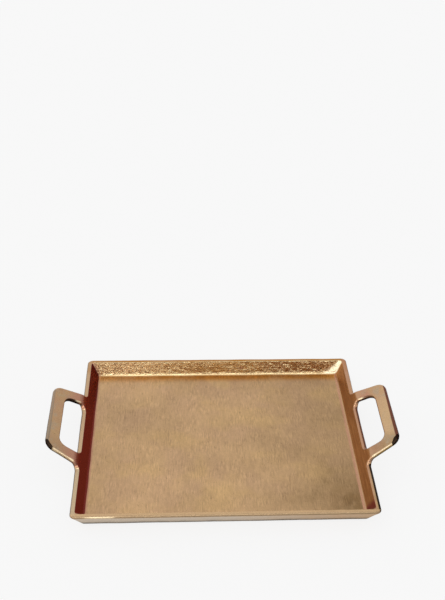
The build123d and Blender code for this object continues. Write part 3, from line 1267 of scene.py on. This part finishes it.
metal = Brass().material
cloth = felt()
pieces = [
    (make_tray_body(), "tray_body", "cast_brass", metal),
    (make_handle("cast_left_handle", -1), "left_handle", "cast_brass", metal),
    (make_handle("cast_right_handle", 1), "right_handle", "cast_brass", metal),
]
for node in sorted(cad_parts):
    if node.startswith("foot_pad"):
        pieces.append((make_pad(node), node, "felt", cloth))
for piece, node, slot, material in pieces:
    piece.data.materials.append(material)
    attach(piece, "root")
    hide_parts(node)


# ---- studio: pale floor, soft sky and the panels that the metal reflects ------------------------
PAPER = (0.12, 0.12, 0.12)
BLACK = (0.0, 0.0, 0.0)
FLOOR_REACH = 6.0
SKY_SEEN = 0.92
SKY_LEVEL = 0.84
FRONT_SKY_LEVEL = 0.40 * SKY_LEVEL
RIGHT_SKY_SHARE = 0.82

# How bright the floor looks from the camera, in the metal's reflections and under the handles.
PAPER_GLOW = 0.845
PAPER_MIRRORED = 0.62
HANDLE_SHADOW = 0.12
CONTACT_SHADE = 0.15
CONTACT_WIDTH = 4 * MM


def flat_panel(name, width, height):
    """A rectangle in its own XY plane."""
    mesh = bpy.data.meshes.new(name)
    x, y = width / 2, height / 2
    mesh.from_pydata([(-x, -y, 0), (x, -y, 0), (x, y, 0), (-x, y, 0)], [], [(0, 1, 2, 3)])
    made = bpy.data.objects.new(name, mesh)
    bpy.context.scene.collection.objects.link(made)
    return made


def paper():
    """Pale paper that glows evenly, so that shadows on it stay faint.

    Reflections see it darker, most of all under the handles and close to the long walls."""
    material, nodes, shader = new_material("pale_paper")
    x, y, _ = nodes.parts(nodes.coordinates["Object"])
    under_x = abs(x).ramp(half_length - 0.01, half_length + 0.02)
    under_y = y.ramp(-0.075, -0.035) * y.ramp(0.13, 0.07)
    shadow = under_x * abs(x).ramp(0.27, 0.33, 1.0, 0.0) * under_y
    mirrored = shadow.ramp(0.0, 1.0, PAPER_MIRRORED, HANDLE_SHADOW)
    base_edge = half_width - OUTER_FLARE
    mirrored = mirrored * abs(y).ramp(base_edge, base_edge + CONTACT_WIDTH, CONTACT_SHADE, 1.0)
    glow = nodes.mix_number(nodes.camera_ray().ramp(0.0, 1.0), mirrored, PAPER_GLOW)
    nodes.wire(shader, {"Base Color": PAPER, "Roughness": 1.0, "Specular IOR Level": 0.0})
    nodes.wire(shader, {"Emission Color": WHITE, "Emission Strength": glow})
    return material


studio_floor = flat_panel("studio_floor", 2 * FLOOR_REACH, 2 * FLOOR_REACH)
studio_floor.data.materials.append(paper())


def reflector(name, place, width, height, colour, strength):
    """A panel that faces the tray and shows only in reflections."""
    panel = flat_panel(name, width, height)
    panel.location = place
    to_tray = Vector((0, 0, rim_top)) - panel.location
    panel.rotation_euler = to_tray.to_track_quat("Z", "Y").to_euler()
    material, nodes, shader = new_material(name)
    nodes.wire(shader, {"Base Color": BLACK, "Specular IOR Level": 0.0})
    nodes.wire(shader, {"Emission Color": colour, "Emission Strength": strength})
    panel.data.materials.append(material)
    panel.visible_camera = False
    panel.visible_diffuse = False
    panel.visible_shadow = False


def sky():
    """An even white room, darker low down in front and a little darker towards the right."""
    world = bpy.data.worlds.new("studio")
    world.use_nodes = True
    nodes = Nodes(world.node_tree)
    background = world.node_tree.nodes["Background"]
    x, y, z = nodes.parts(nodes.coordinates["Generated"])
    front = y.ramp(-0.2, -0.7) * z.ramp(0.55, 0.25)
    level = front.ramp(0.0, 1.0, SKY_LEVEL, FRONT_SKY_LEVEL)
    level = level * x.ramp(0.0, 0.6, 1.0, RIGHT_SKY_SHARE)
    seen = nodes.mix_number(nodes.camera_ray(), level, SKY_SEEN)
    nodes.wire(background, {"Color": WHITE, "Strength": seen})
    return world


WARM_LIGHT = (1.0, 0.98, 0.94)
WINDOW_LIGHT = (1.0, 0.98, 0.95)

bpy.context.scene.world = sky()
reflector("front_left_softbox", (-0.85, -1.25, 0.75), 1.0, 0.6, WARM_LIGHT, 2.4)
reflector("overhead_softbox", (0.0, -0.30, 1.5), 1.3, 0.40, WARM_LIGHT, 3.0)
reflector("front_strip_light", (0.0, -1.35, 1.05), 2.2, 0.22, WARM_LIGHT, 3.0)
reflector("left_window", (-1.5, 0.1, 0.45), 0.9, 0.5, WINDOW_LIGHT, 1.8)

# The viewpoint is set in body lengths from the middle of the rim plane.
CAMERA_PLACE = Vector((-0.151, -2.315, 2.233))
CAMERA_PITCH = math.radians(35.74)
CAMERA_YAW = math.radians(-3.45)
CAMERA_ROLL = math.radians(1.71)
CAMERA_LENS = 54.12
CAMERA_SENSOR = 36
body_length = body_high.x - body_low.x
camera_data = bpy.data.cameras.new("camera")
camera_data.lens = CAMERA_LENS
camera_data.sensor_width = CAMERA_SENSOR
camera = bpy.data.objects.new("camera", camera_data)
turn = Matrix.Rotation(CAMERA_YAW, 4, "Z") @ Matrix.Rotation(math.pi / 2 - CAMERA_PITCH, 4, "X")
turn = turn @ Matrix.Rotation(CAMERA_ROLL, 4, "Z")
camera_place = CAMERA_PLACE * body_length + Vector((0, 0, rim_top))
camera.matrix_world = Matrix.Translation(camera_place) @ turn
bpy.context.scene.collection.objects.link(camera)
bpy.context.scene.camera = camera
bpy.context.scene.view_settings.view_transform = "Standard"
